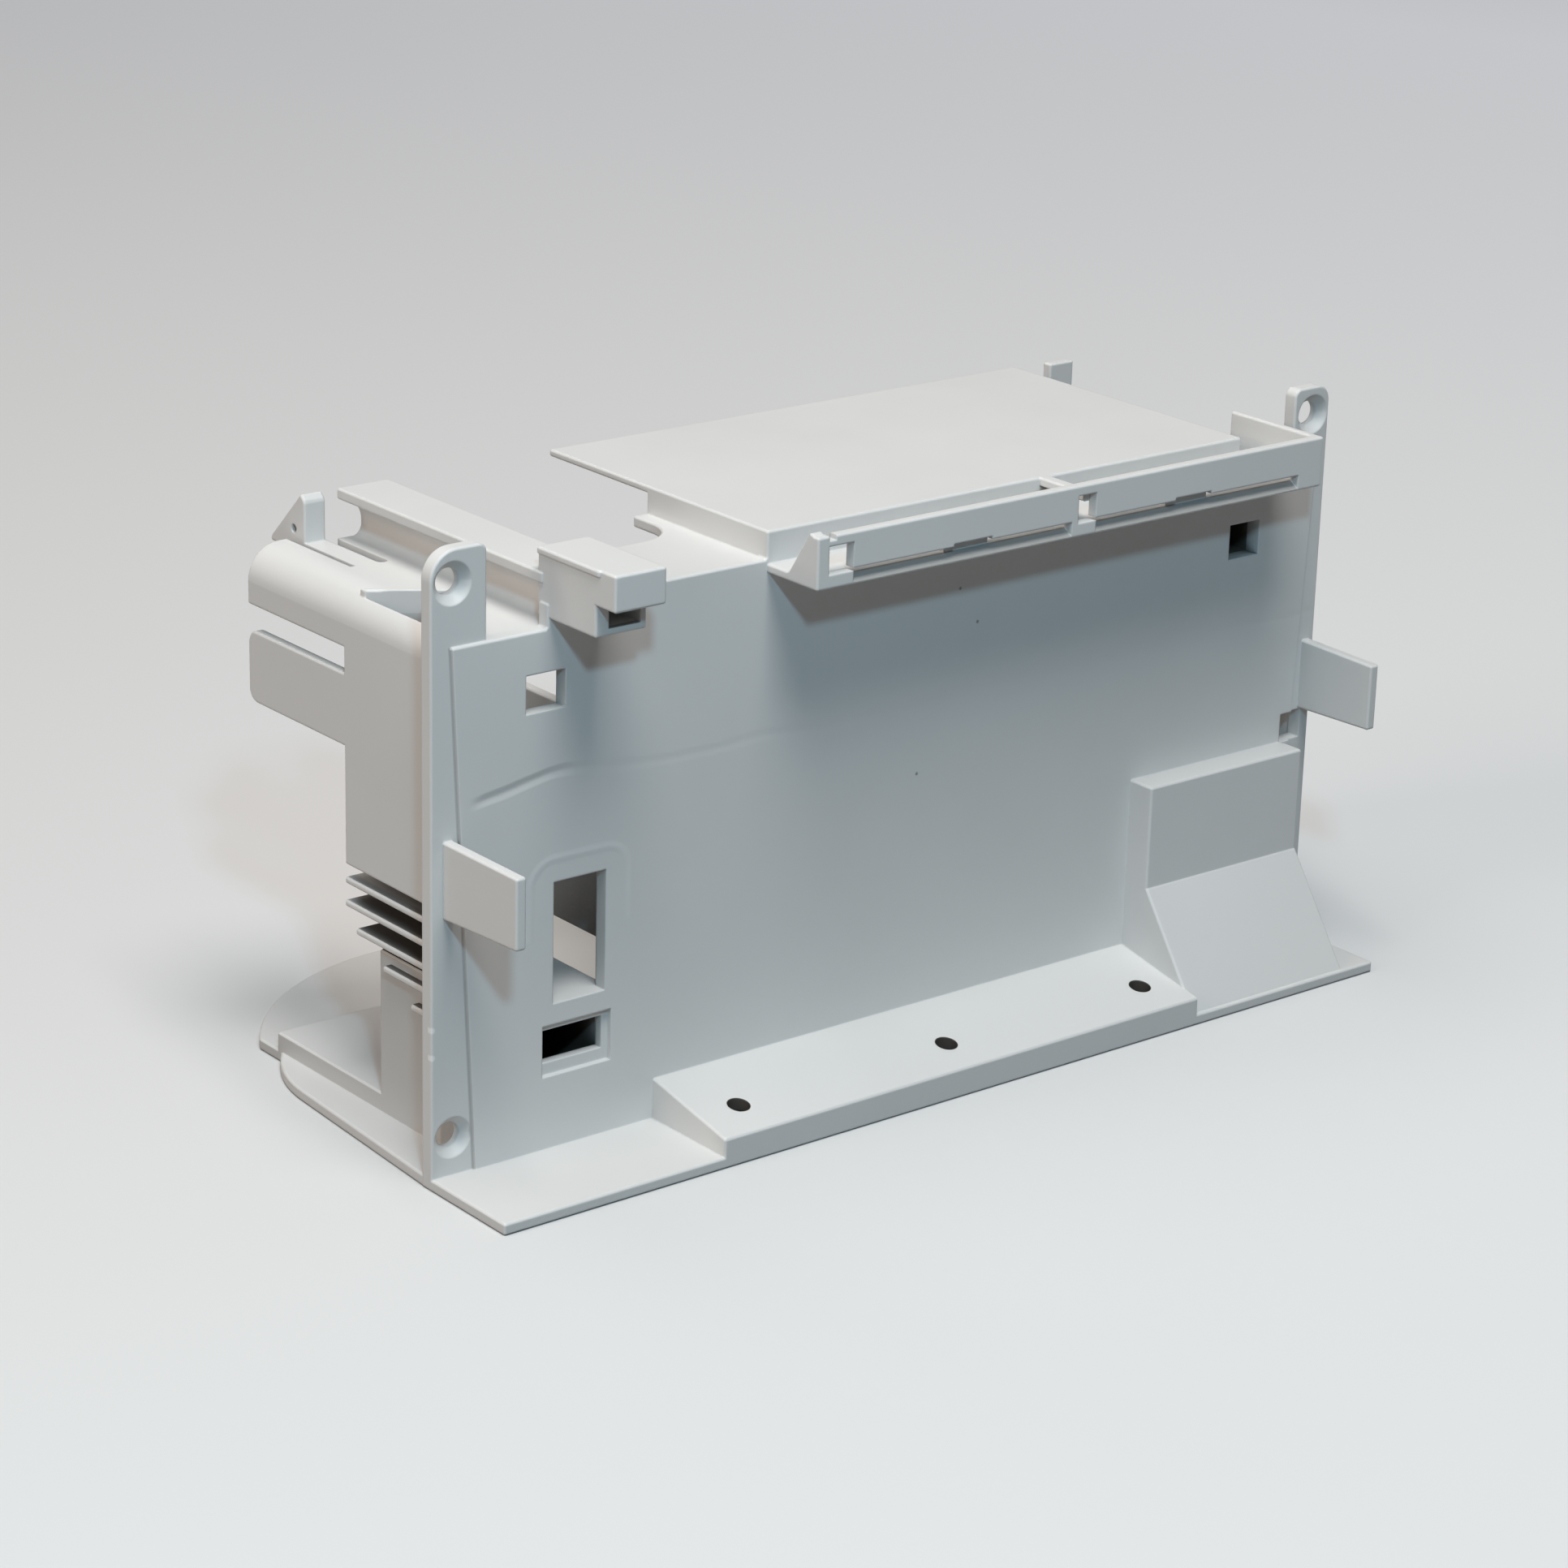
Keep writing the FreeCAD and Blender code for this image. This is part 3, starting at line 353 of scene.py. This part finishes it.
def plastic_material():
    """Light grey satin plastic with a fine spark grain, a faint cloudiness, marks of moulding, painted
    highlights on its edges and painted shade in its recesses.
    """
    material = bpy.data.materials.new("moulded_plastic")
    material.use_nodes = True
    tree = material.node_tree
    shader = tree.nodes["Principled BSDF"]
    shader.inputs["Specular IOR Level"].default_value = SPECULAR
    place = node(tree, "ShaderNodeTexCoord").outputs["Object"]
    along, depth, height = axes(tree, place)
    weld, arch, dots = wall_marks(tree, place, along, depth, height)

    # Rounded edges show where the rounded normal leaves the plain one. There the colour is made pale,
    # partly as wear and partly as a painted highlight.
    edge = node(tree, "ShaderNodeBevel", samples=EDGE_SAMPLES, Radius=EDGE_RADIUS).outputs["Normal"]
    flat = node(tree, "ShaderNodeVectorMath", operation="DOT_PRODUCT")
    tree.links.new(edge, flat.inputs[0])
    tree.links.new(node(tree, "ShaderNodeNewGeometry").outputs["Normal"], flat.inputs[1])
    edge_wear_and_highlight = times(tree, fade(tree, flat.outputs["Value"], *EDGE_FADE),
                 spread(tree, noise(tree, place, EDGE_WEAR_AND_HIGHLIGHT_NOISE), *EDGE_WEAR_AND_HIGHLIGHT_RANGE))
    # The flash nibs are painted as pale highlight spots.
    flash_highlight = times(tree, spots(tree, along, height, FLASH_HIGHLIGHTS, FLASH_NEAR, FLASH_FAR),
                  under(tree, depth, FLASH_BACK))

    # Colour: a faint cloud, pale edges of wear and painted highlight, the painted highlights of the flash
    # nibs, painted shade, and the marks on the wall.
    cloud = node(tree, "ShaderNodeMix", data_type="RGBA", A=PLASTIC_DARK, B=PLASTIC_PALE)
    tree.links.new(noise(tree, place, CLOUD_NOISE), cloud.inputs["Factor"])
    colour = tint(tree, largest(tree, edge_wear_and_highlight, flash_highlight), cloud.outputs["Result"], EDGE_WEAR_AND_HIGHLIGHT_COLOUR)
    colour = tint(tree, times(tree, shade(tree, along, depth, height), PAINTED_SHADE_COVER), colour, PAINTED_SHADE_COLOUR)
    colour = tint(tree, times(tree, weld, WELD_COVER), colour, WELD_COLOUR)
    colour = tint(tree, times(tree, arch, ARCH_COVER), colour, ARCH_COLOUR)
    colour = tint(tree, times(tree, dots, DOT_COVER), colour, DOT_COLOUR)
    tree.links.new(colour, shader.inputs["Base Color"])
    roughness = spread(tree, noise(tree, place, GLOSS_NOISE), *ROUGHNESS_RANGE)
    tree.links.new(roughness, shader.inputs["Roughness"])

    # Surface: rounded edges, spark grain, broad waves, the raised arch and the sunk flow line.
    normal = bump(tree, noise(tree, place, GRAIN_NOISE), GRAIN_BUMP, edge)
    normal = bump(tree, noise(tree, place, SHRINK_NOISE), SHRINK_BUMP, normal)
    normal = bump(tree, work(tree, "SUBTRACT", arch, times(tree, weld, WELD_DEPTH)), MARK_BUMP, normal)
    tree.links.new(normal, shader.inputs["Normal"])
    return material


# The housing keeps its CAD shape and gets its plastic.
plastic = plastic_material()
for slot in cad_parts["housing"].material_slots:
    slot.material = plastic

# Pale floor that reaches far back. It throws less light onto the object than the camera sees on it.
FLOOR_REACH = 6.0
FLOOR_SEEN = (0.616, 0.616, 0.614, 1.0)
FLOOR_THROWN = (0.14, 0.137, 0.133, 1.0)
FLOOR_ROUGHNESS = 0.8
FLOOR_SPECULAR = 0.1

# Seen directly or in a mirror, the floor also glows with painted light that grows paler from the left to
# the right and the back.
FAR_SIDE = (1.0, 0.25, 0.0)
FAR_START = -0.10
FAR_END = 1.05
FAR_GLOW = 0.335
FAR_COLOUR = (0.83, 0.87, 0.95, 1.0)

floor_mesh = bpy.data.meshes.new("floor")
floor_corners = [(-FLOOR_REACH, -FLOOR_REACH, 0), (FLOOR_REACH, -FLOOR_REACH, 0),
                 (FLOOR_REACH, FLOOR_REACH, 0), (-FLOOR_REACH, FLOOR_REACH, 0)]
floor_mesh.from_pydata(floor_corners, [], [(0, 1, 2, 3)])
floor = bpy.data.objects.new("floor", floor_mesh)
bpy.context.scene.collection.objects.link(floor)
floor_material = bpy.data.materials.new("pale_floor")
floor_material.use_nodes = True
floor_tree = floor_material.node_tree
floor_shader = floor_tree.nodes["Principled BSDF"]
floor_shader.inputs["Roughness"].default_value = FLOOR_ROUGHNESS
floor_shader.inputs["Specular IOR Level"].default_value = FLOOR_SPECULAR
ray = node(floor_tree, "ShaderNodeLightPath").outputs
floor_mix = node(floor_tree, "ShaderNodeMix", data_type="RGBA", A=FLOOR_SEEN, B=FLOOR_THROWN)
floor_tree.links.new(ray["Is Diffuse Ray"], floor_mix.inputs["Factor"])
floor_tree.links.new(floor_mix.outputs["Result"], floor_shader.inputs["Base Color"])
across = node(floor_tree, "ShaderNodeVectorMath", operation="DOT_PRODUCT")
floor_tree.links.new(node(floor_tree, "ShaderNodeTexCoord").outputs["Object"], across.inputs[0])
across.inputs[1].default_value = FAR_SIDE
far = node(floor_tree, "ShaderNodeMapRange", From_Min=FAR_START, From_Max=FAR_END, To_Max=FAR_GLOW)
floor_tree.links.new(across.outputs["Value"], far.inputs["Value"])
mirrored = work(floor_tree, "ADD", ray["Is Glossy Ray"], ray["Is Transmission Ray"])
seen = work(floor_tree, "ADD", ray["Is Camera Ray"], mirrored)
floor_shader.inputs["Emission Color"].default_value = FAR_COLOUR
glow = times(floor_tree, far.outputs["Result"], seen)
floor_tree.links.new(glow, floor_shader.inputs["Emission Strength"])
floor_mesh.materials.append(floor_material)

# Dim surround.
WORLD_COLOUR = (0.95, 0.98, 1.0, 1.0)
WORLD_STRENGTH = 0.10
world = bpy.data.worlds.new("studio")
world.use_nodes = True
world.node_tree.nodes["Background"].inputs["Color"].default_value = WORLD_COLOUR
world.node_tree.nodes["Background"].inputs["Strength"].default_value = WORLD_STRENGTH
bpy.context.scene.world = world

# Four square lamps by name, place, size in metres, power in watts and colour. One is high in front, a broad
# one high behind softens the floor's shadow, a small cool one stands at the front left, and a warm one far
# out at the left. All of them face the middle of the object.
LAMP_AIM = Vector((0.0, 0.0, 0.05))
LAMPS = (
    ("top_lamp", (-0.20, -0.48, 1.40), 0.58, 16.2, (1.0, 0.985, 0.96)),
    ("back_lamp", (-0.25, 0.45, 1.45), 0.95, 4.6, (1.0, 0.97, 0.94)),
    ("key_lamp", (-0.435, -0.645, 0.59), 0.054, 2.45, (0.46, 0.79, 1.0)),
    ("side_lamp", (-2.00, 0.10, 1.00), 1.00, 16.8, (1.0, 0.84, 0.72)),
)
for lamp_name, lamp_place, lamp_size, lamp_power, lamp_colour in LAMPS:
    lamp_data = bpy.data.lights.new(lamp_name, "AREA")
    lamp_data.shape = "SQUARE"
    lamp_data.size = lamp_size
    lamp_data.energy = lamp_power
    lamp_data.color = lamp_colour
    lamp = bpy.data.objects.new(lamp_name, lamp_data)
    bpy.context.scene.collection.objects.link(lamp)
    lamp.location = lamp_place
    lamp.rotation_euler = (LAMP_AIM - Vector(lamp_place)).to_track_quat("-Z", "Y").to_euler()

bpy.context.scene.view_settings.view_transform = "Standard"
